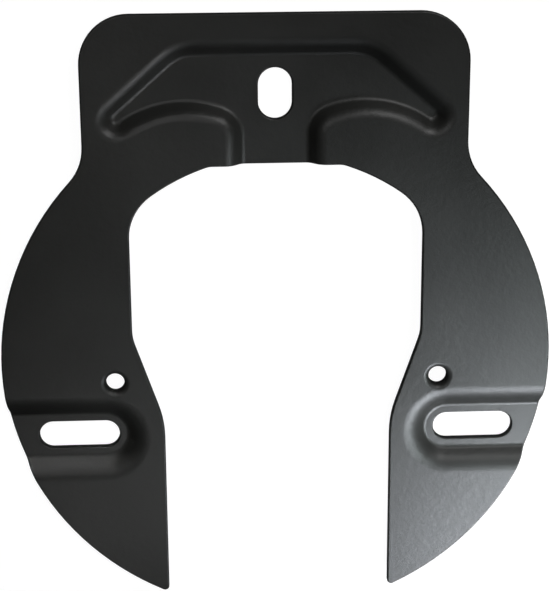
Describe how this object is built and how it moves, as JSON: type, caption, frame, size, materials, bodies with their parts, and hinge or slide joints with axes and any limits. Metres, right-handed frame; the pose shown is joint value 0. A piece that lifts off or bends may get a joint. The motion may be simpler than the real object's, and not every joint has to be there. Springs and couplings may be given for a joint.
{
  "type": "bicycle frame lock bracket",
  "caption": "Pressed sheet-steel plate that straddles a bicycle tyre and carries a frame lock: slotted seats take the frame's bolts, and tapped collars take the lock's screws.",
  "frame": {"origin": "midway between the two lower slots, in the plane of the seats at the back", "axes": "+X along the line of the lower slots, +Y to the top edge, +Z out of the front face"},
  "size_m": [0.126, 0.1367, 0.0045],
  "materials": {
    "black_paint": "satin black paint with a very fine texture"
  },
  "bodies": {
    "root": {"bracket_plate": "black_paint"}
  },
  "joints": []
}
